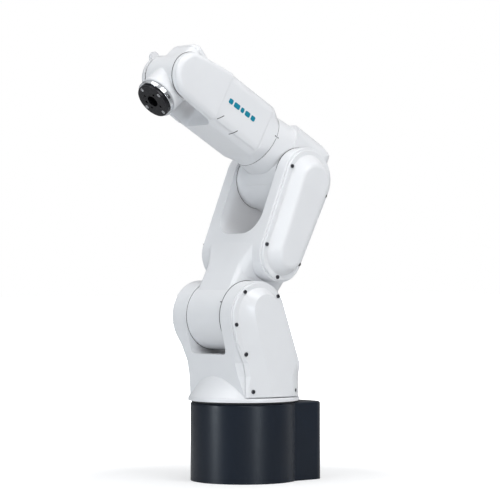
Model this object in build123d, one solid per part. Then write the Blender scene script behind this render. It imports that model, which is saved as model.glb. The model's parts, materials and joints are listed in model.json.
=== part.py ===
from build123d import *
from math import cos, radians, sin, sqrt
import os

os.makedirs("parts", exist_ok=True)

# Compact six-axis robot arm. Millimetres. The origin is on the first axis at the underside
# of the base; +X is forward, +Y is the robot's left and +Z is up.

# Where the joint axes are, with the arm in its resting pose.
J2_X, J2_Z = 30, 272
ARM_LEAN = 25  # the lower arm leans back by this many degrees
ARM_LENGTH = 250
FOREARM_RISE = 29  # the forearm points this many degrees above horizontal
FOREARM_OFFSET = 35  # the roll axis runs this far above the elbow axis
ROLL_SEAM = 73.5  # elbow axis to the seam where the forearm turns
WRIST_X = 267  # elbow axis to wrist axis, measured along the forearm
WRIST_DROP = 39  # the tool axis points this many degrees below horizontal

SHOULDER = Location((J2_X, 0, J2_Z)) * Rot(0, -ARM_LEAN, 0)
ELBOW = SHOULDER * Location((0, 0, ARM_LENGTH)) * Rot(0, ARM_LEAN - FOREARM_RISE, 0)
WRIST = ELBOW * Location((WRIST_X, 0, FOREARM_OFFSET)) * Rot(0, FOREARM_RISE + WRIST_DROP, 0)

SEAM = 0.3  # the fine joint line between two bolted castings
GAP = 0.6  # air between a moving piece and its neighbour
WALL = 4  # thickness of the plastic covers and of the cast walls

# Base
BASE_R, BASE_TOP = 88, 129.5
BASE_CAVITY_R = 62
BOX_REAR, BOX_HALF_WIDTH, BOX_CORNER_R = -120, 73, 18
FOOT_PCD, FOOT_HOLE_R, FOOT_HOLE_DEPTH = 150, 3.4, 18
DOWEL_Y, DOWEL_R = 78, 3.0

# Turret
RING_R, RING_BOTTOM, RING_TOP = 92, 132.5, 139
EAR_INNER, EAR_R = 44.3, 58
LEFT_EAR, RIGHT_EAR = 72, 79  # how far out the two ears reach
LEDGE_Z = J2_Z - 62  # top of the block between the two ears
TURRET_COVER_RISE = 14

# Lower arm
HUB_R, HUB_HALF = 56, EAR_INNER - GAP
FORK_INNER, FORK_OUTER = 53, 75
ARM_TOP_R, ARM_LOW_R, ARM_LOW_Z = 52, 46, 112
SADDLE_Z = 128  # top of the web between the two upper ears
ARM_COVER_OUT = 96

# Elbow, forearm, wrist and flange
ELBOW_HALF, ELBOW_R = FORK_INNER - GAP, 46.5
ROLL_R = 50
FOREARM_HALF, FOREARM_LOW, FOREARM_HIGH = 48.5, -45, 50
PRONG_INNER, PRONG_R, PRONG_OUTER = 36.3, 39, 50
WEB_FRONT = 193  # front of the fork's web, along the forearm
WRIST_R, WRIST_HALF, TUBE_R = 38, PRONG_INNER - GAP, 33.5
TUBE_REAR, CAP_SEAM, TUBE_FRONT = -52, -39, 50
FLANGE_R, FLANGE_FRONT = 30, 64.4
FLANGE_PCD, FLANGE_HOLE_R, FLANGE_BORE_R = 31.5, 2.1, 10

RIM = 4  # thickness of a cover's flat rim, where its screws go
SCREW_HEAD_R, SCREW_HEAD_H, SCREW_SOCKET_R = 3.2, 2.4, 1.6
SCREW_SHANK_R, SCREW_LENGTH = 1.9, 8


def hull(circles):
    """The smooth outline around circles given as (x, z, radius), drawn in the XZ plane."""
    edges = []
    for x, z, r in circles:
        edges += (Pos(x, z) * Circle(r)).edges()
    return make_hull(edges)


def slab(outline, y0, y1):
    """An XZ outline made solid from y0 to y1."""
    return Pos(0, y1, 0) * extrude(Plane.XZ * outline, y1 - y0)


def pillar(x, z, r, y0, y1):
    """A cylinder along Y."""
    return slab(Pos(x, z) * Circle(r), y0, y1)


def rod(r, x0, x1, y=0, z=0):
    """A cylinder along X."""
    return Pos(x0, y, z) * Rot(0, 90, 0) * Cylinder(r, x1 - x0, align=(Align.CENTER, Align.CENTER, Align.MIN))


def post(r, z0, z1, x=0, y=0):
    """A cylinder along Z."""
    return Pos(x, y, z0) * Cylinder(r, z1 - z0, align=(Align.CENTER, Align.CENTER, Align.MIN))


def block(x0, x1, y0, y1, z0, z1):
    return Pos((x0 + x1) / 2, (y0 + y1) / 2, (z0 + z1) / 2) * Box(x1 - x0, y1 - y0, z1 - z0)


def grown(circles, amount):
    """The same circles with every radius changed by amount."""
    return [(x, z, r + amount) for x, z, r in circles]


def mirrored(shape):
    return mirror(shape, Plane.XZ)


def softened(shape, edges, radii):
    """Fillet the edges with the first radius that the shape can take."""
    for r in radii:
        try:
            return fillet(edges, r)
        except Exception:
            continue
    return shape


def outer_edges(shape, y):
    """The edges that lie in the plane at this y."""
    boxes = [(e, e.bounding_box()) for e in shape.edges()]
    return [e for e, box in boxes if abs(box.min.Y - y) < 0.01 and abs(box.max.Y - y) < 0.01]


def dome(circles, y0, rim, y1, band, raised, soft=10):
    """A cover's outside: a flat rim this wide, then a border sloping up to a raised flat at y1."""
    low = slab(hull(circles), y0, y0 + rim)
    low = softened(low, outer_edges(low, y0 + rim), [rim * 0.4])
    foot = Pos(0, y0 + rim - 0.5, 0) * (Plane.XZ * hull(grown(circles, -band)))
    top = Pos(0, y1, 0) * (Plane.XZ * hull(raised))
    bulge = loft([foot, top], ruled=True)
    return low + softened(bulge, outer_edges(bulge, y1), [soft, 6, 4])


def screw(height=SCREW_HEAD_H):
    """A button-head screw at the origin, standing up along +Z, with its shank below."""
    head = post(SCREW_HEAD_R, 0, height)
    head = fillet(head.edges().filter_by(GeomType.CIRCLE).sort_by(Axis.Z)[-1:], 0.9)
    socket = extrude(Pos(0, 0, height - 1.4) * RegularPolygon(SCREW_SOCKET_R, 6), 2)
    return head - socket + post(SCREW_SHANK_R, -SCREW_LENGTH, 0)


def cover_screws(points, y, side):
    """Screws through the rim of a cover that starts at y on the left (side 1) or right (side -1)."""
    return [Pos(x, side * (y + RIM), z) * Rot(-90 * side, 0, 0) * screw() for x, z in points]


def screw_holes(points, y):
    """Clearance for the screws of a left-hand cover that starts at y."""
    holes = Part()
    for x, z in points:
        holes += pillar(x, z, SCREW_SHANK_R + 0.2, y - SCREW_LENGTH + 3, y + RIM + 1)
        holes += pillar(x, z, SCREW_HEAD_R + 0.5, y + RIM, y + 30)
    return holes


# ---------------------------------------------------------------- base


def base_outline(grow=0.0):
    box = Rectangle(-BOX_REAR - 10 + grow, 2 * (BOX_HALF_WIDTH + grow))
    box = Pos((BOX_REAR - grow) / 2, 0) * box
    box = fillet(box.vertices().sort_by(Axis.X)[:2], BOX_CORNER_R + grow)
    return box + Circle(BASE_R + grow)


def base_housing():
    body = extrude(base_outline(), BASE_TOP)
    body = softened(body, body.faces().sort_by(Axis.Z)[-1].outer_wire().edges(), [4, 3, 2])
    body -= post(BASE_CAVITY_R, 12, BASE_TOP - 9)
    body -= post(42, -1, 13)
    body -= post(46, BASE_TOP - 10, BASE_TOP + 1)
    body -= block(BOX_REAR + 3.2, -52, -52, 52, 14, BASE_TOP - 14)
    body -= block(BOX_REAR - 1, BOX_REAR + 4, -46, 46, 20, BASE_TOP - 20)
    for corner in (45, 135, 225, 315):
        body -= Rot(0, 0, corner) * post(FOOT_HOLE_R, -1, FOOT_HOLE_DEPTH, FOOT_PCD / 2)
    for y in (-DOWEL_Y, DOWEL_Y):
        body -= post(DOWEL_R, -1, 12, 0, y)
    return body


def rear_panel():
    panel = block(BOX_REAR - 0.6, BOX_REAR + 2.4, -45.5, 45.5, 20.5, BASE_TOP - 20.5)
    panel = fillet(panel.edges().filter_by(Axis.X), 4)
    for y, z, r in ((-24, 60, 12.4), (16, 60, 10.4), (34, 76, 4.4), (34, 44, 4.4)):
        panel -= rod(r, BOX_REAR - 5, BOX_REAR + 5, y, z)
    for y in (-41, 41):
        for z in (25, BASE_TOP - 25):
            panel -= rod(2.1, BOX_REAR - 5, BOX_REAR + 5, y, z)
    return panel


def round_connector(y, z, r, pins):
    """A panel connector: a threaded shell with a flange, an insulator and a ring of pins."""
    shell = rod(r, BOX_REAR - 13, BOX_REAR + 14, y, z) - rod(r - 2, BOX_REAR - 14, BOX_REAR - 2, y, z)
    shell += rod(r + 3.2, BOX_REAR - 3.6, BOX_REAR - 0.7, y, z) - rod(r - 2, BOX_REAR - 14, BOX_REAR - 2, y, z)
    for x in range(-12, -4, 2):
        shell += rod(r + 0.5, BOX_REAR + x, BOX_REAR + x + 0.9, y, z) - rod(r - 1, BOX_REAR - 14, BOX_REAR, y, z)
    for k in range(pins):
        shell += Pos(0, y, z) * Rot(360 * k / pins, 0, 0) * rod(0.9, BOX_REAR - 9, BOX_REAR - 1, 0, (r - 2) * 0.6)
    return shell


def air_fittings():
    found = []
    for z in (76, 44):
        body = rod(4.3, BOX_REAR - 8, BOX_REAR + 9, 34, z)
        body += Pos(BOX_REAR - 5.4, 34, z) * Rot(0, 90, 0) * extrude(RegularPolygon(6.2, 6), 4.7)
        body += rod(5.2, BOX_REAR - 11, BOX_REAR - 7.8, 34, z)
        found.append(body - rod(2.1, BOX_REAR - 12, BOX_REAR + 10, 34, z))
    return found


def panel_screws():
    return [
        Pos(BOX_REAR - 0.7, y, z) * Rot(0, -90, 0) * (screw(2) - post(5, -9, -3.2))
        for y in (-41, 41)
        for z in (25, BASE_TOP - 25)
    ]


def base_seal():
    return post(86, BASE_TOP, BASE_TOP + 2.2) - post(80, BASE_TOP - 1, BASE_TOP + 3)


def square_motor(size, length, shaft_r, shaft):
    """A servo motor standing on the origin with its shaft along +Z."""
    body = Pos(0, 0, length / 2) * Box(size, size, length)
    body = fillet(body.edges().filter_by(Axis.Z), size * 0.12)
    body = chamfer(body.faces().sort_by(Axis.Z)[0].edges(), 1.5)
    body -= post(size, length * 0.30, length * 0.30 + 1.2) - post(size * 0.49, 0, length)
    return body + post(shaft_r, length, length + shaft)


# ---------------------------------------------------------------- turret

EAR = [
    (J2_X, J2_Z, EAR_R),
    (-44, RING_TOP + 33, 23),
    (36, RING_TOP + 25, 23),
    (-58, RING_TOP + 4, 6),
    (51, RING_TOP + 4, 6),
]
TURRET_RAISED = [
    (J2_X - 6, J2_Z + 12, 24),
    (J2_X - 14, J2_Z + 2, 30),
    (-20, RING_TOP + 40, 24),
    (-22, RING_TOP - 30, 20),
]
# (radius, height above the ring) of the round envelope that the turret's sides follow
TURRET_SKIRT = [(92, -1), (92, 36), (95, 58), (104, 83), (115, 108), (128, 135), (128, 210)]


def turret_limit(grow=0.0):
    """The round envelope that the turret's sides are turned to."""
    side = [(r + grow, RING_TOP + z) for r, z in TURRET_SKIRT]
    pts = [(0, side[0][1])] + side + [(0, side[-1][1])]
    return revolve(Plane.XZ * make_face(Polyline(*pts, close=True)), Axis.Z)


def turret_casting():
    ring = post(RING_R, RING_BOTTOM, RING_TOP)
    ring = fillet(ring.edges().filter_by(GeomType.CIRCLE).sort_by(Axis.Z)[-1:], 2.5)
    skirt = Pos(0, 0, RING_TOP) * Cone(91, 58, 44, align=(Align.CENTER, Align.CENTER, Align.MIN))
    skirt &= block(-200, 200, -RIGHT_EAR, LEFT_EAR, 0, 400)
    ears = slab(hull(EAR), -RIGHT_EAR, LEFT_EAR) - block(-200, 200, -200, 200, 0, RING_TOP)
    ears -= block(-200, 200, -EAR_INNER, EAR_INNER, LEDGE_Z, 400)
    ears = softened(ears, inner_ledge(ears), [8, 5, 3])
    ears = ears & turret_limit(-1.5)
    body = ears + ring + skirt
    body -= slab(hull(grown(EAR[1:3], -14)), -40, 40) & block(-200, 200, -200, 200, RING_TOP + 8, LEDGE_Z - 6)
    body -= post(40, RING_BOTTOM - 1, RING_TOP + 10)
    for side in (1, -1):
        low, high = sorted((side * 50, side * 90))
        body -= pillar(J2_X, J2_Z, 42, low, high)
    body -= pillar(J2_X, J2_Z, 30, -60, 60)
    body -= screw_holes(turret_screw_points(LEFT_EAR), LEFT_EAR)
    return body - mirrored(screw_holes(turret_screw_points(RIGHT_EAR), RIGHT_EAR))


def inner_ledge(ears):
    """The two long edges where the ledge meets the ears."""
    return [
        e
        for e in ears.edges().filter_by(Axis.X)
        if abs(abs(e.center().Y) - EAR_INNER) < 0.1 and abs(e.center().Z - LEDGE_Z) < 0.1
    ]


TURRET_COVER = [
    (J2_X, J2_Z, EAR_R - 2.5),
    (-44, RING_TOP + 33, 20.5),
    (33, RING_TOP + 23, 20.5),
    (-42, RING_TOP - 27, 20.5),
    (30, RING_TOP - 27, 20.5),
]


def turret_cover(ear):
    """The cover bolted to the outside of an ear that reaches out this far, as on the left side."""
    below = block(-200, 200, -200, 200, 0, RING_TOP + 1.6)
    shell = dome(TURRET_COVER, ear, RIM, ear + TURRET_COVER_RISE, 8, TURRET_RAISED)
    shell = (shell - below) & turret_limit()
    inner = slab(hull(grown(TURRET_RAISED, -1)), ear - 0.5, ear + TURRET_COVER_RISE - 3)
    shell -= (inner & turret_limit(-WALL)) - Pos(0, 0, WALL) * below
    return shell - screw_holes(turret_screw_points(ear), ear)


def turret_screw_points(ear):
    """(x, z) of each screw in the cover on an ear that reaches out this far."""
    high = [(J2_X + 51 * cos(a), J2_Z + 51 * sin(a)) for a in (radians(-14), radians(52), radians(140))]
    mid_x = sqrt(96.5**2 - (ear + RIM) ** 2)
    low_x = sqrt((RING_R - 4) ** 2 - (ear + RIM) ** 2)
    return high + [(mid_x, RING_TOP + 72), (low_x, RING_TOP + 11), (-low_x, RING_TOP + 11)]


# ---------------------------------------------------------------- lower arm

ARM_SIDE = [(0, ARM_LENGTH, ARM_TOP_R), (0, ARM_LOW_Z, ARM_LOW_R)]


def arm_casting():
    hub = pillar(0, 0, HUB_R, -HUB_HALF, HUB_HALF)
    neck = slab(hull([(0, 0, HUB_R - 4), (0, ARM_LOW_Z, ARM_LOW_R)]), -HUB_HALF, HUB_HALF)
    neck = softened(neck, outer_edges(neck, HUB_HALF) + outer_edges(neck, -HUB_HALF), [8, 5])
    sides = slab(hull(ARM_SIDE), -FORK_OUTER, FORK_OUTER)
    body = softened(sides, outer_edges(sides, FORK_OUTER) + outer_edges(sides, -FORK_OUTER), [1.5])
    flare = loft([
        Pos(0, 0, 58) * RectangleRounded(98, 2 * HUB_HALF - 1, 14),
        Pos(0, 0, 120) * RectangleRounded(2 * ARM_LOW_R - 1, 2 * FORK_OUTER - 6, 16),
    ])
    body += neck + hub + flare
    gap = slab(Pos(0, 300) * Rectangle(260, 2 * (300 - SADDLE_Z)), -FORK_INNER, FORK_INNER)
    gap = softened(gap, [e for e in gap.edges().filter_by(Axis.X) if e.center().Z < SADDLE_Z + 1], [38, 26])
    body -= gap
    for side in (1, -1):
        low, high = sorted((side * (FORK_INNER + 6), side * 120))
        body -= slab(hull([(0, ARM_LENGTH, 39), (0, ARM_LOW_Z + 4, 31)]), low, high)
    body -= pillar(0, ARM_LENGTH, 30, -90, 90)
    body -= pillar(0, 0, 42, -HUB_HALF + 6, HUB_HALF + 5)
    holes = screw_holes(ARM_SCREWS, FORK_OUTER)
    return body - holes - mirrored(holes)


ARM_COVER = [(0, ARM_LENGTH, ARM_TOP_R - 4), (0, ARM_LOW_Z, ARM_LOW_R - 3)]


def arm_cover():
    shell = dome(ARM_COVER, FORK_OUTER, RIM, ARM_COVER_OUT, 8, ARM_RAISED, 12)
    shell -= slab(hull(grown(ARM_RAISED, -1)), FORK_OUTER - 0.5, ARM_COVER_OUT - 3.5)
    return shell - screw_holes(ARM_SCREWS, FORK_OUTER)


ARM_RAISED = [(-6, ARM_LENGTH - 6, 30), (-6, ARM_LOW_Z + 4, 24)]
ARM_SCREWS = [(43, 252), (38.5, 112), (-5, 73), (-38.5, 112), (-43, 240)]


# ---------------------------------------------------------------- elbow

NECK_X = 36  # where the elbow narrows to the round roll seam
ELBOW_SIDE = [
    (NECK_X, -30),
    (NECK_X, 85),
    (-22, 84),
    (-46, 70),
    (-54, 44),
    (-54, 0),
    (-46, -32),
    (-32, -42),
    (16, -42),
]


def elbow_housing():
    outline = make_face(Polyline(*ELBOW_SIDE, close=True))
    outline = fillet([v for v in outline.vertices() if v.X < NECK_X - 5], 10)
    body = slab(outline, -ELBOW_HALF, ELBOW_HALF)
    roof = RectangleRounded(2 * ELBOW_HALF, 200, 24)  # rounds the two long upper edges
    body &= extrude(Plane.YZ.offset(-90) * Pos(0, 85 - 100) * roof, 150)
    back = RectangleRounded(200, 2 * ELBOW_HALF, 24)  # rounds the two upright rear edges
    body &= Pos(100 - 54, 0, -90) * extrude(back, 200)
    drum = pillar(0, 0, ELBOW_R, -ELBOW_HALF, ELBOW_HALF)
    neck = RectangleRounded(2 * ELBOW_HALF - 1.6, 2 * ROLL_R - 1, 40)
    neck = Plane.YZ.offset(NECK_X - 6) * Pos(0, FOREARM_OFFSET) * neck
    seam = Plane.YZ.offset(ROLL_SEAM) * Pos(0, FOREARM_OFFSET) * Circle(ROLL_R)
    body = body + drum + loft([neck, seam])
    body -= block(-46, 30, -40, 40, -34, 70)
    body -= rod(32, 20, 90, 0, FOREARM_OFFSET)
    body -= pillar(0, 0, 34, -44, 44)
    return body


# ---------------------------------------------------------------- forearm

PRONG = [(WRIST_X, FOREARM_OFFSET, PRONG_R), (WRIST_X - 64, FOREARM_OFFSET + 2.5, 45)]
COVER_START = ROLL_SEAM + 26  # where the two side covers begin, along the forearm
COVER_SEAM = 43  # how far out from the middle the side covers begin


def forearm_form():
    """The whole outside of the forearm, before its side covers are parted off."""
    z = FOREARM_OFFSET
    start = ROLL_SEAM + GAP
    section = Plane.YZ.offset(start + 22) * Pos(0, z + (FOREARM_HIGH + FOREARM_LOW) / 2)
    section *= RectangleRounded(2 * FOREARM_HALF, FOREARM_HIGH - FOREARM_LOW, 20)
    body = extrude(section, WRIST_X - 64 - start - 22)
    body += loft([Plane.YZ.offset(start) * Pos(0, z) * Circle(ROLL_R), section])
    fork = slab(hull(PRONG), -PRONG_OUTER, PRONG_OUTER) & block(WRIST_X - 66, 400, -90, 90, -100, 200)
    rims = outer_edges(fork, PRONG_OUTER) + outer_edges(fork, -PRONG_OUTER)
    fork = softened(fork, [e for e in rims if e.center().X > WRIST_X - 60], [11, 8, 5])
    slot = block(WEB_FRONT, 400, -PRONG_INNER, PRONG_INNER, -100, 200)
    return body + fork - softened(slot, slot.edges().filter_by(Axis.Z).sort_by(Axis.X)[:2], [14])


def outside_seam(grow=0.0):
    """The space taken by the left side cover."""
    return block(COVER_START + grow, 400, COVER_SEAM + grow, 90, -100, 200)


def forearm_casting():
    z = FOREARM_OFFSET
    body = forearm_form() - outside_seam() - mirrored(outside_seam())
    body -= block(ROLL_SEAM + 20, WEB_FRONT - 10, -38, 38, z - 36, z + 40)
    body -= rod(18, ROLL_SEAM, ROLL_SEAM + 24, 0, z)
    return body - pillar(WRIST_X, z, 14, -COVER_SEAM - 1, COVER_SEAM + 1)


def forearm_cover():
    """The left side cover, with the long hollow that the belt runs in."""
    belt = hull([(WRIST_X, FOREARM_OFFSET, 22), (COVER_START + 34, FOREARM_OFFSET + 2, 27)])
    hollow = slab(belt, 40, PRONG_OUTER - 3.2)
    return (forearm_form() & outside_seam(SEAM)) - hollow


def forearm_right_cover():
    """The right side cover, which has a screw lug at its front upper corner."""
    z = FOREARM_OFFSET
    lug = slab(hull([(WRIST_X, z, 20), (WRIST_X + 28, z + 27, 8)]), -PRONG_OUTER + 1, -COVER_SEAM - SEAM)
    return mirrored(forearm_cover()) + lug


def forearm_badge():
    """A plain row of five rounded bars on the left cover."""
    bars, x = [], 189
    for width in (9, 13, 7, 11, 9):
        outline = Pos(x - width / 2, FOREARM_OFFSET + 3) * RectangleRounded(width, 8.6, 2.4)
        bars.append(slab(outline, FOREARM_HALF, FOREARM_HALF + 0.3))
        x -= width + 3.2
    return bars


# ---------------------------------------------------------------- wrist, in its own frame: +X is the tool axis


def wrist_box(x0, x1):
    """The squarer rear of the wrist, which holds the last motor."""
    return extrude(Plane.YZ.offset(x0) * RectangleRounded(2 * WRIST_HALF - 2, 66, 15), x1 - x0)


def wrist_housing():
    hub = pillar(0, 0, WRIST_R, -WRIST_HALF, WRIST_HALF)
    hub = softened(hub, outer_edges(hub, WRIST_HALF) + outer_edges(hub, -WRIST_HALF), [2])
    tube = rod(TUBE_R, 0, TUBE_FRONT)
    tube = softened(tube, tube.edges().filter_by(GeomType.CIRCLE).sort_by(Axis.X)[-1:], [3, 2])
    body = hub + tube + wrist_box(CAP_SEAM, 0)
    body -= rod(25, CAP_SEAM - 1, TUBE_FRONT - 7)
    body -= rod(21, TUBE_FRONT - 8, TUBE_FRONT + 1)
    return body - pillar(0, 0, 24.5, 26, WRIST_HALF + 1)


def wrist_rear_cap():
    cap = wrist_box(TUBE_REAR, CAP_SEAM - SEAM)
    cap = softened(cap, cap.faces().sort_by(Axis.X)[0].edges(), [10, 8, 5])
    return cap - rod(25, TUBE_REAR + 4, CAP_SEAM)


def flange_ring():
    ring = rod(FLANGE_R + 3.2, TUBE_FRONT + 2.2, 59)
    ring = softened(ring, ring.edges().filter_by(GeomType.CIRCLE), [0.8])
    return ring + rod(20, TUBE_FRONT - 3, TUBE_FRONT + 2.3) - rod(FLANGE_BORE_R + 4, 40, 60)


def tool_flange():
    """The plate that tools bolt to: four tapped holes, a pilot bore and a dowel hole."""
    disc = rod(FLANGE_R, 59.3, FLANGE_FRONT)
    disc = softened(disc, disc.edges().filter_by(GeomType.CIRCLE).sort_by(Axis.X)[-1:], [0.8])
    disc += rod(FLANGE_BORE_R + 3.6, 52, 59.4)
    disc -= rod(FLANGE_BORE_R, 51, 70)
    for k in range(4):
        disc -= Rot(45 + 90 * k, 0, 0) * rod(FLANGE_HOLE_R, 52, 70, 0, FLANGE_PCD / 2)
        disc -= Rot(90 * k + 22.5, 0, 0) * (rod(3.4, 62, 70, 0, 24.5) + rod(1.6, 59, 63, 0, 24.5))
    return disc - Rot(90, 0, 0) * rod(2.5, 55, 70, 0, FLANGE_PCD / 2)


def flange_screws():
    found = []
    for k in range(4):
        head = rod(3.2, 62.1, FLANGE_FRONT - 0.3) - rod(1.5, 63, 70) + rod(1.4, 60, 62.2)
        found.append(Rot(90 * k + 22.5, 0, 0) * Pos(0, 0, 24.5) * head)
    return found


def round_motor(r, y0, y1, x=0, z=0):
    """A flat motor across the arm with a ribbed case."""
    body = pillar(x, z, r, y0, y1)
    body = chamfer(body.edges().filter_by(GeomType.CIRCLE), 1.2)
    steps = max(1, int((y1 - y0 - 4) / 4))
    for k in range(steps):
        y = y0 + 3 + 4 * k
        body -= pillar(x, z, r + 1, y, y + 1.5) - pillar(x, z, r - 1.5, y, y + 1.5)
    return body


def gear_unit(r, y0, y1, x=0, z=0, bolts=8):
    """A strain wave gear unit across the arm, its output face ringed with bolt holes."""
    body = pillar(x, z, r, y0, y1)
    body = chamfer(body.edges().filter_by(GeomType.CIRCLE), 0.8)
    for k in range(bolts):
        hole = pillar(r * 0.82, 0, 1.8, y0 - 1, y0 + 5)
        body -= Pos(x, 0, z) * Rot(0, 360 * k / bolts, 0) * hole
    return body


def main():
    parts = {}
    parts["base_housing"] = base_housing()
    parts["base_rear_panel"] = rear_panel()
    parts["power_connector"] = round_connector(-24, 60, 12, 6)
    parts["signal_connector"] = round_connector(16, 60, 10, 9)
    parts["air_fittings"] = air_fittings()
    parts["panel_screws"] = panel_screws()
    parts["base_seal"] = base_seal()
    parts["j1_motor"] = Pos(0, 0, 16) * square_motor(76, 66, 8, 6)
    parts["j1_gear_unit"] = Pos(0, 0, 88.5) * Rot(-90, 0, 0) * gear_unit(54, -31, 0, bolts=12)
    parts["turret_casting"] = turret_casting()
    parts["turret_left_cover"] = turret_cover(LEFT_EAR)
    parts["turret_right_cover"] = mirrored(turret_cover(RIGHT_EAR))
    parts["turret_cover_screws"] = cover_screws(turret_screw_points(LEFT_EAR), LEFT_EAR, 1)
    parts["turret_cover_screws"] += cover_screws(turret_screw_points(RIGHT_EAR), RIGHT_EAR, -1)
    parts["j2_gear_unit"] = gear_unit(40, 50.1, 64, J2_X, J2_Z)
    parts["j2_motor"] = round_motor(22, 64, 80, J2_X - 14, J2_Z + 2)
    parts["arm_casting"] = SHOULDER * arm_casting()
    parts["arm_left_cover"] = SHOULDER * arm_cover()
    parts["arm_right_cover"] = SHOULDER * mirrored(arm_cover())
    sides = cover_screws(ARM_SCREWS, FORK_OUTER, 1) + cover_screws(ARM_SCREWS, FORK_OUTER, -1)
    parts["arm_cover_screws"] = [SHOULDER * one for one in sides]
    parts["j3_gear_unit"] = SHOULDER * gear_unit(38, 59.1, 72, 0, ARM_LENGTH)
    parts["j3_motor"] = SHOULDER * round_motor(19, 72, 88, 0, ARM_LENGTH)
    parts["elbow_housing"] = ELBOW * elbow_housing()
    parts["forearm_casting"] = ELBOW * forearm_casting()
    parts["forearm_left_cover"] = ELBOW * forearm_cover()
    parts["forearm_right_cover"] = ELBOW * forearm_right_cover()
    parts["forearm_badge"] = [ELBOW * bar for bar in forearm_badge()]
    roll = ELBOW * Location((0, 0, FOREARM_OFFSET))
    parts["j4_motor"] = roll * Pos(-44, 0, 0) * Rot(0, 90, 0) * square_motor(46, 60, 5, 12)
    parts["j4_gear_unit"] = roll * Rot(0, 0, -90) * gear_unit(30, 48, ROLL_SEAM - 1)
    parts["j5_motor"] = roll * Pos(128, -34, 4) * Rot(-90, 0, 0) * square_motor(38, 54, 4, 10)
    parts["j5_gear_unit"] = WRIST * gear_unit(24, 26.5, WRIST_HALF - 0.2)
    parts["j6_motor"] = WRIST * Rot(0, 0, -90) * round_motor(24, TUBE_REAR + 6, 8)
    parts["j6_gear_unit"] = WRIST * Rot(0, 0, -90) * gear_unit(24, 8.5, TUBE_FRONT - 8)
    parts["wrist_housing"] = WRIST * wrist_housing()
    parts["wrist_rear_cap"] = WRIST * wrist_rear_cap()
    parts["flange_ring"] = WRIST * flange_ring()
    parts["tool_flange"] = WRIST * tool_flange()
    parts["flange_screws"] = [WRIST * s for s in flange_screws()]
    for name, shape in parts.items():
        export_step(Compound(children=shape) if isinstance(shape, list) else shape, f"parts/{name}.step")


main()
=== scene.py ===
import json
import math

import bmesh
import bpy
from mathutils import Matrix, Vector


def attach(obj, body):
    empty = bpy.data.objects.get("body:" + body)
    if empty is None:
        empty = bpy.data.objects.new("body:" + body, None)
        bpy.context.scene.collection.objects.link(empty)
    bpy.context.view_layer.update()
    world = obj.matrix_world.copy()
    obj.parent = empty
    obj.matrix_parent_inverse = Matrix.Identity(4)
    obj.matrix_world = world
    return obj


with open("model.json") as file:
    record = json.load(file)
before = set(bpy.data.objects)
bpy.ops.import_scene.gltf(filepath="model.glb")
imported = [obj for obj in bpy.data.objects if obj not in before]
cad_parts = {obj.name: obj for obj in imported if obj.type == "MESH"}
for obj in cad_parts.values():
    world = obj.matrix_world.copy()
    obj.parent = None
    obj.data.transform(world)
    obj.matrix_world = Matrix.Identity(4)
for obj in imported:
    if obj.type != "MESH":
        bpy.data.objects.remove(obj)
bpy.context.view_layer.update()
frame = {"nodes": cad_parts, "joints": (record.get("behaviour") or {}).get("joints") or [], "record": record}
nodes = frame["nodes"]
scene = bpy.context.scene
scene.view_settings.view_transform = "Standard"

# ------------------------------------------------------------------ camera

VIEW_TURN = math.radians(49.67)  # from +X towards +Y, where the camera stands
VIEW_TILT = math.radians(-0.53)
DISTANCE = 3.6
LENS, SENSOR_WIDTH = 156.14, 36  # mm
AIM_RIGHT, AIM_HEIGHT = 0.01063, 0.38081  # where the middle of the frame looks


def make_camera():
    flat = Vector((math.cos(VIEW_TURN), math.sin(VIEW_TURN), 0))
    toward = flat * math.cos(VIEW_TILT) + Vector((0, 0, math.sin(VIEW_TILT)))
    right = Vector((-math.sin(VIEW_TURN), math.cos(VIEW_TURN), 0))
    up = toward.cross(right)
    target = right * AIM_RIGHT + Vector((0, 0, AIM_HEIGHT))
    data = bpy.data.cameras.new("camera")
    data.lens, data.sensor_width = LENS, SENSOR_WIDTH
    camera = bpy.data.objects.new("camera", data)
    place = Matrix((right, up, toward)).transposed().to_4x4()
    place.translation = target + toward * DISTANCE
    camera.matrix_world = place
    scene.collection.objects.link(camera)
    scene.camera = camera


make_camera()

# ------------------------------------------------------------------ materials


# a Mix node's colour sockets share their names with others, so they go by number
MIX_FACTOR, MIX_FIRST, MIX_SECOND, MIX_RESULT = 0, 6, 7, 2


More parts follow.
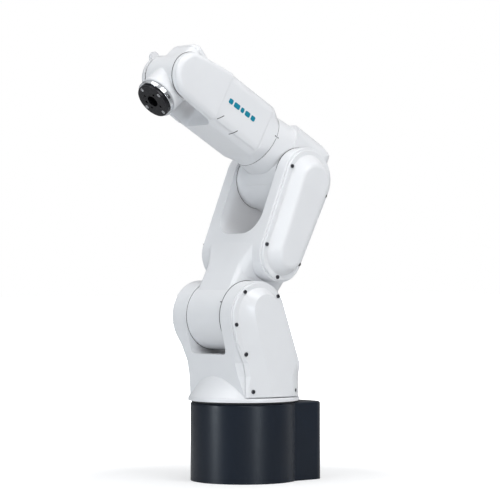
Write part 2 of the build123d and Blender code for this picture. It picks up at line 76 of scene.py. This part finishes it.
class Graph:
    """A small helper around one material's nodes."""

    def __init__(self, name):
        self.material = bpy.data.materials.new(name)
        self.material.use_nodes = True
        self.tree = self.material.node_tree
        self.shader = self.tree.nodes["Principled BSDF"]
        self.place = self.add("ShaderNodeTexCoord").outputs["Object"]

    def add(self, kind, **settings):
        node = self.tree.nodes.new(kind)
        for key, value in settings.items():
            setattr(node, key, value)
        return node

    def link(self, source, target):
        self.tree.links.new(source, target)

    def noise(self, scale, detail=4.0, rough=0.55, stretch=None):
        source = self.place
        if stretch:
            mapping = self.add("ShaderNodeMapping")
            mapping.inputs["Scale"].default_value = stretch
            self.link(source, mapping.inputs["Vector"])
            source = mapping.outputs["Vector"]
        node = self.add("ShaderNodeTexNoise")
        node.inputs["Scale"].default_value = scale
        node.inputs["Detail"].default_value = detail
        node.inputs["Roughness"].default_value = rough
        self.link(source, node.inputs["Vector"])
        return node.outputs["Fac"]

    def remap(self, source, low, high, start=0.0, end=1.0):
        node = self.add("ShaderNodeMapRange")
        limits = {"From Min": start, "From Max": end, "To Min": low, "To Max": high}
        for socket, value in limits.items():
            node.inputs[socket].default_value = value
        self.link(source, node.inputs["Value"])
        return node.outputs["Result"]

    def mix(self, factor, first, second):
        node = self.add("ShaderNodeMix", data_type="RGBA")
        node.inputs[MIX_FIRST].default_value = (*first, 1)
        node.inputs[MIX_SECOND].default_value = (*second, 1)
        self.link(factor, node.inputs[MIX_FACTOR])
        return node.outputs[MIX_RESULT]

    def math(self, operation, first, second=0.0):
        node = self.add("ShaderNodeMath", operation=operation)
        for socket, value in zip(node.inputs, (first, second)):
            if isinstance(value, (int, float)):
                socket.default_value = value
            else:
                self.link(value, socket)
        return node.outputs[0]

    def bump(self, height, distance, strength, normal):
        node = self.add("ShaderNodeBump")
        node.inputs["Strength"].default_value = strength
        node.inputs["Distance"].default_value = distance
        self.link(height, node.inputs["Height"])
        self.link(normal, node.inputs["Normal"])
        return node.outputs["Normal"]

    def rounded(self, radius):
        node = self.add("ShaderNodeBevel", samples=6)
        node.inputs["Radius"].default_value = radius
        return node.outputs["Normal"]

    def set(self, **values):
        for key, value in values.items():
            self.shader.inputs[key.replace("_", " ")].default_value = value

    def drive(self, socket, source):
        self.link(source, self.shader.inputs[socket])


def painted(name, colour, shade, rough, peel, edge=0.0012, coat=0.1, shine=0.45):
    """Sprayed paint over a casting or moulding: orange peel, mottling, a thin gloss coat."""
    g = Graph(name)
    broad = g.noise(9, 3)
    fine = g.noise(160, 3)
    g.drive("Base Color", g.mix(g.remap(broad, 0, 1, 0.35, 0.65), colour, shade))
    g.drive("Roughness", g.remap(fine, rough[0], rough[1], 0.3, 0.7))
    g.set(Coat_Weight=coat, Coat_Roughness=0.12, Specular_IOR_Level=shine)
    normal = g.bump(g.noise(650, 2), peel, 0.3, g.rounded(edge))
    g.drive("Normal", normal)
    return g.material


def metal(name, colour, rough, brush, stretch=(1, 1, 1), strength=0.4, edge=0.0004):
    """Bare metal with fine wear; a stretch draws the wear out into brushed lines."""
    g = Graph(name)
    g.set(Metallic=1.0)
    lines = g.noise(brush, 5, 0.7, stretch)
    g.drive("Base Color", g.mix(lines, [c * 0.82 for c in colour], colour))
    g.drive("Roughness", g.remap(lines, rough[0], rough[1], 0.3, 0.7))
    g.drive("Normal", g.bump(lines, 0.00004, strength, g.rounded(edge)))
    return g.material


def turned(name, colour, metallic, rough, joint, pitch, depth):
    """Metal faced on a lathe: fine rings round a joint's axis."""
    g = Graph(name)
    g.set(Metallic=metallic)
    offset = g.add("ShaderNodeVectorMath", operation="SUBTRACT")
    offset.inputs[1].default_value = joint["pos_m"]
    g.link(g.place, offset.inputs[0])
    cross = g.add("ShaderNodeVectorMath", operation="CROSS_PRODUCT")
    cross.inputs[1].default_value = joint["axis"]
    g.link(offset.outputs[0], cross.inputs[0])
    length = g.add("ShaderNodeVectorMath", operation="LENGTH")
    g.link(cross.outputs[0], length.inputs[0])
    rings = g.math("SINE", g.math("MULTIPLY", length.outputs["Value"], 2 * math.pi / pitch))
    wear = g.noise(300, 4)
    darker = [c * 0.8 for c in colour]
    g.drive("Base Color", g.mix(g.remap(wear, 0, 1, 0.3, 0.7), darker, colour))
    g.drive("Roughness", g.remap(wear, rough[0], rough[1], 0.3, 0.7))
    g.drive("Normal", g.bump(rings, depth, 0.6, g.rounded(0.0004)))
    return g.material


def dull(name, colour, rough, grain, depth, edge=0.0006):
    """Rubber or moulded plastic with a fine spark-eroded grain."""
    g = Graph(name)
    fine = g.noise(grain, 3)
    darker, lighter = [c * 0.75 for c in colour], [min(1, c * 1.25) for c in colour]
    g.drive("Base Color", g.mix(fine, darker, lighter))
    g.drive("Roughness", g.remap(fine, rough[0], rough[1], 0.3, 0.7))
    g.drive("Normal", g.bump(fine, depth, 0.6, g.rounded(edge)))
    return g.material


joints = {j["name"]: j for j in frame["joints"]}
TOOL = joints["j6_tool_roll"]

WHITE, WHITE_SHADE = (0.75, 0.755, 0.77), (0.72, 0.725, 0.74)
NAVY, NAVY_SHADE = (0.0035, 0.0085, 0.018), (0.0028, 0.007, 0.015)
SHARP_EDGE = math.radians(24)  # faces that meet at more than this keep a hard edge
materials = {
    "white_paint": painted("white_cast_paint", WHITE, WHITE_SHADE, (0.30, 0.40), 0.00002),
    "white_cover": painted("white_cover_paint", WHITE, WHITE_SHADE, (0.28, 0.37), 0.000015),
    "dark_paint": painted(
        "dark_base_paint", NAVY, NAVY_SHADE, (0.30, 0.40), 0.00003, coat=0.0, shine=0.33
    ),
    "black_anodised": dull("black_anodised", (0.012, 0.012, 0.014), (0.3, 0.45), 900, 0.00003),
    "chrome_ring": turned(
        "chrome_ring", (0.82, 0.84, 0.87), 1.0, (0.06, 0.16), TOOL, pitch=0.0006, depth=0.00001
    ),
    "steel": metal("zinc_steel", (0.62, 0.63, 0.65), (0.22, 0.42), 900),
    "dark_steel": metal("black_oxide_steel", (0.09, 0.09, 0.10), (0.28, 0.45), 900),
    "black_rubber": dull("black_rubber", (0.016, 0.016, 0.017), (0.6, 0.8), 700, 0.00008),
    "black_plastic": dull("black_plastic", (0.022, 0.022, 0.024), (0.38, 0.52), 1200, 0.00004),
    "cast_aluminium": metal("machined_aluminium", (0.70, 0.71, 0.72), (0.25, 0.42), 300, (1, 6, 1)),
    "brass": metal("nickel_brass", (0.70, 0.56, 0.30), (0.2, 0.36), 600),
    "teal_print": dull("teal_print", (0.0, 0.21, 0.31), (0.3, 0.42), 500, 0.00001, 0.0002),
}
flange_black = turned(
    "flange_black", (0.014, 0.014, 0.017), 0.6, (0.24, 0.4), TOOL, pitch=0.0011, depth=0.00002
)

for part in frame["record"]["subparts"]:
    piece = nodes[part["node"]]
    piece.data.materials.clear()
    piece.data.materials.append(materials[part["material_slot"]])
    for face in piece.data.polygons:
        face.use_smooth = True
    piece.data.set_sharp_from_angle(angle=SHARP_EDGE)
nodes["tool_flange"].data.materials[0] = flange_black

# ------------------------------------------------------------------ dark sealing rings in the moving seams: painted shade in the gaps

SEAL_SHADE_HALF = 0.00026  # half the thickness of a dark sealing ring that paints the shade in a seam


def add_piece(name, mesh, slot, body):
    """Turn a finished mesh into a piece that rides on a body, in a slot's material."""
    data = bpy.data.meshes.new(name)
    mesh.to_mesh(data)
    mesh.free()
    data.materials.append(materials[slot])
    piece = bpy.data.objects.new(name, data)
    scene.collection.objects.link(piece)
    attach(piece, body)


def join_rows(mesh, first, second):
    """Faces between two closed rows of the same number of points."""
    for k in range(len(first)):
        n = (k + 1) % len(first)
        mesh.faces.new((first[k], first[n], second[n], second[k]))


# painted shade: the moving seams' gaps are in shade, and these dark rubber rings, built as seals, fill them
# so they read as dark lines
def seal_and_seam_shade(name, joint, offset, inner, outer, body):
    """A thin dark rubber ring round a joint's axis, offset along it from the joint's point: a seal that also
    paints the shade in the seam's gap.
    """
    steps, mesh, loops = 96, bmesh.new(), []
    turn = [2 * math.pi * k / steps for k in range(steps)]
    root, tip = SEAL_SHADE_HALF, SEAL_SHADE_HALF * 0.6
    for r, z in ((inner, -root), (outer, -tip), (outer, tip), (inner, root)):
        loops.append([mesh.verts.new((r * math.cos(a), r * math.sin(a), z)) for a in turn])
    for first, second in zip(loops, loops[1:] + loops[:1]):
        join_rows(mesh, first, second)
    bmesh.ops.recalc_face_normals(mesh, faces=mesh.faces)
    axis = Vector(joints[joint]["axis"])
    place = axis.to_track_quat("Z", "Y").to_matrix().to_4x4()
    place.translation = Vector(joints[joint]["pos_m"]) + axis * offset
    mesh.transform(place)
    add_piece(name, mesh, "black_rubber", body)


# the left rings stand a hair proud of the larger ear beside them, and the right ones reach
# about as far as the smaller hub, so each ring's painted shade shows as a thin dark line in its seam
OUTER_RADII = {"left": (0.0587, 0.0526, 0.0397), "right": (0.0564, 0.0468, 0.0374)}
for side, mark in ((1, "left"), (-1, "right")):
    shoulder, elbow, wrist = OUTER_RADII[mark]
    seal_and_seam_shade("j2_seal_shade_" + mark, "j2_shoulder", side * 0.0440, 0.050, shoulder, "turret")
    seal_and_seam_shade("j3_seal_shade_" + mark, "j3_elbow", -side * 0.0527, 0.040, elbow, "lower_arm")
    seal_and_seam_shade("j5_seal_shade_" + mark, "j5_wrist_bend", side * 0.0360, 0.032, wrist, "forearm")
# painted shade in the roll seam's gap, as a dark sealing ring
seal_and_seam_shade("j4_seal_shade", "j4_forearm_roll", 0.0003, 0.046, 0.0502, "elbow")

# ------------------------------------------------------------------ seam slots as painted shade, and zero marks

SHOULDER = Vector(joints["j2_shoulder"]["pos_m"])
ELBOW = Vector(joints["j3_elbow"]["pos_m"])
ALONG = Vector(joints["j4_forearm_roll"]["axis"])  # the forearm's length
SIDE = Vector((0, 1, 0))
ABOVE = ALONG.cross(SIDE)
CORNER_Y, CORNER_Z, CORNER_R = 0.0285, 0.010, 0.020  # rounding of the forearm's lower left edge
HUB_R = 0.056  # the shoulder hub
ROLL_R, ROLL_AXIS_Z, ROLL_SEAM = 0.050, 0.035, 0.0735  # the barrel, its axis and its seam
SLOT_SHADE_WIDTH, MARK_WIDTH = 0.0013, 0.0016
PROUD = 0.00015  # how far a strip stands out, and how far it sinks in


def strip(name, path, normals, width, body):
    """A thin dark strip laid along a path of points, standing out along the normals."""
    mesh, rows = bmesh.new(), []
    for k, (point, normal) in enumerate(zip(path, normals)):
        ahead = path[min(k + 1, len(path) - 1)] - path[max(k - 1, 0)]
        across = ahead.cross(normal).normalized() * width / 2
        low, high = point - normal * PROUD, point + normal * PROUD
        corners = (low - across, low + across, high + across, high - across)
        rows.append([mesh.verts.new(v) for v in corners])
    for first, second in zip(rows, rows[1:]):
        join_rows(mesh, first, second)
    mesh.faces.new(rows[0])
    mesh.faces.new(rows[-1])
    bmesh.ops.recalc_face_normals(mesh, faces=mesh.faces)
    add_piece(name, mesh, "black_plastic", body)


# painted shade: a slot in the seam is dark from the shadow inside it, so a dark strip stands on the surface
# in its place
def seam_slot_shade(name, top, low, start, end):
    """A dark strip across the forearm's lower left edge, from top to low along it, over these degrees:
    painted shade for a seam slot in shadow.
    """
    path, normals, steps = [], [], 8
    for k in range(steps + 1):
        t = k / steps
        a = math.radians(start + (end - start) * t)
        out = SIDE * math.cos(a) - ABOVE * math.sin(a)
        centre = ELBOW + ALONG * (top + (low - top) * t) + SIDE * CORNER_Y + ABOVE * CORNER_Z
        path.append(centre + out * CORNER_R)
        normals.append(out)
    strip(name, path, normals, SLOT_SHADE_WIDTH, "forearm")


# the two slots in the seam under the forearm's left cover, as painted shade
seam_slot_shade("forearm_slot_shade_front", 0.186, 0.194, 0, 33)
seam_slot_shade("forearm_slot_shade_rear", 0.149, 0.157, 17, 58)


def hub_mark(name, degrees, start, end):
    """A zero mark on the shoulder hub, from start to end along its axis."""
    a = math.radians(degrees)
    out = Vector((math.cos(a), 0, math.sin(a)))
    path = [SHOULDER + out * HUB_R + SIDE * y for y in (start, end)]
    strip(name, path, [out, out], MARK_WIDTH, "lower_arm")


def roll_mark(name, degrees, start, end, body):
    """A zero mark beside the roll seam, from start to end along the forearm."""
    a = math.radians(degrees)
    out = SIDE * math.cos(a) + ABOVE * math.sin(a)
    centre = ELBOW + ABOVE * ROLL_AXIS_Z + out * ROLL_R
    path = [centre + ALONG * (ROLL_SEAM + x) for x in (start, end)]
    strip(name, path, [out, out], MARK_WIDTH, body)


hub_mark("j2_zero_mark", 25.4, 0.0365, 0.0425)
roll_mark("j4_zero_mark_elbow", 3.4, -0.0045, -0.0015, "elbow")
roll_mark("j4_zero_mark_forearm", 3.4, 0.0015, 0.0045, "forearm")

# ------------------------------------------------------------------ lights and floor

LIGHT_AIM = Vector((0, 0, 0.35))
COOL = (0.86, 0.94, 1.0)


def softbox(name, turn, height, distance, size, power, colour=(1, 1, 1)):
    """An area light turn degrees round from the camera, towards the right of its picture."""
    a = VIEW_TURN + math.radians(turn)
    data = bpy.data.lights.new(name, "AREA")
    data.shape, data.size, data.size_y = "RECTANGLE", size[0], size[1]
    data.energy, data.color = power, colour
    light = bpy.data.objects.new(name, data)
    light.location = (distance * math.cos(a), distance * math.sin(a), height)
    aim = LIGHT_AIM - light.location
    light.rotation_euler = aim.to_track_quat("-Z", "Y").to_euler()
    scene.collection.objects.link(light)


# name, turn, height, distance, (width, height) in metres, watts
softbox("key", 48, 2.1, 1.7, (1.2, 0.9), 19)
softbox("high_left", -44, 2.7, 1.6, (1.2, 1.0), 15)
softbox("front_fill", 10, 1.8, 3.2, (1.8, 1.2), 20)
softbox("left_strip", -62, 0.30, 2.4, (0.34, 0.5), 15, COOL)
softbox("front_strip", 30, 0.30, 2.6, (0.30, 0.5), 11, COOL)
softbox("rear_strip", 116, 0.7, 2.2, (0.40, 1.6), 3)
softbox("top", 0, 2.9, 0.05, (1.6, 1.6), 10)

world = bpy.data.worlds.new("studio")
scene.world = world
world.use_nodes = True
tree = world.node_tree
seen, lit = tree.nodes["Background"], tree.nodes.new("ShaderNodeBackground")
seen.inputs["Color"].default_value = (1, 1, 1, 1)
lit.inputs["Color"].default_value = (0.97, 0.985, 1, 1)
sky, height = tree.nodes.new("ShaderNodeTexCoord"), tree.nodes.new("ShaderNodeSeparateXYZ")
glow = tree.nodes.new("ShaderNodeMapRange")  # darker at the horizon, brighter overhead
limits = {"From Min": 0.05, "From Max": 0.8, "To Min": 0.07, "To Max": 0.62}
for socket, value in limits.items():
    glow.inputs[socket].default_value = value
tree.links.new(sky.outputs["Generated"], height.inputs["Vector"])
tree.links.new(height.outputs["Z"], glow.inputs["Value"])
tree.links.new(glow.outputs["Result"], lit.inputs["Strength"])
path, choose = tree.nodes.new("ShaderNodeLightPath"), tree.nodes.new("ShaderNodeMixShader")
tree.links.new(path.outputs["Is Camera Ray"], choose.inputs["Fac"])
tree.links.new(lit.outputs[0], choose.inputs[1])
tree.links.new(seen.outputs[0], choose.inputs[2])
tree.links.new(choose.outputs[0], tree.nodes["World Output"].inputs["Surface"])

bpy.ops.mesh.primitive_plane_add(size=40, location=(0, 0, 0))
floor = bpy.context.object
floor.name = "floor"
pale = Graph("pale_floor")
# it glows for the camera only, more so further out, so its edge fades into the backdrop
pale.drive("Base Color", pale.mix(pale.noise(3, 4), (0.60, 0.605, 0.61), (0.63, 0.63, 0.635)))
pale.drive("Roughness", pale.remap(pale.noise(60, 3), 0.6, 0.8))
reach = pale.add("ShaderNodeVectorMath", operation="LENGTH")
pale.link(pale.place, reach.inputs[0])
pale.set(Specular_IOR_Level=0.1, Emission_Color=(1, 1, 1, 1))
spread = pale.remap(reach.outputs["Value"], 0.42, 1.6, 0.25, 1.0)
direct = pale.add("ShaderNodeLightPath").outputs["Is Camera Ray"]
pale.drive("Emission Strength", pale.math("MULTIPLY", spread, direct))
floor.data.materials.append(pale.material)
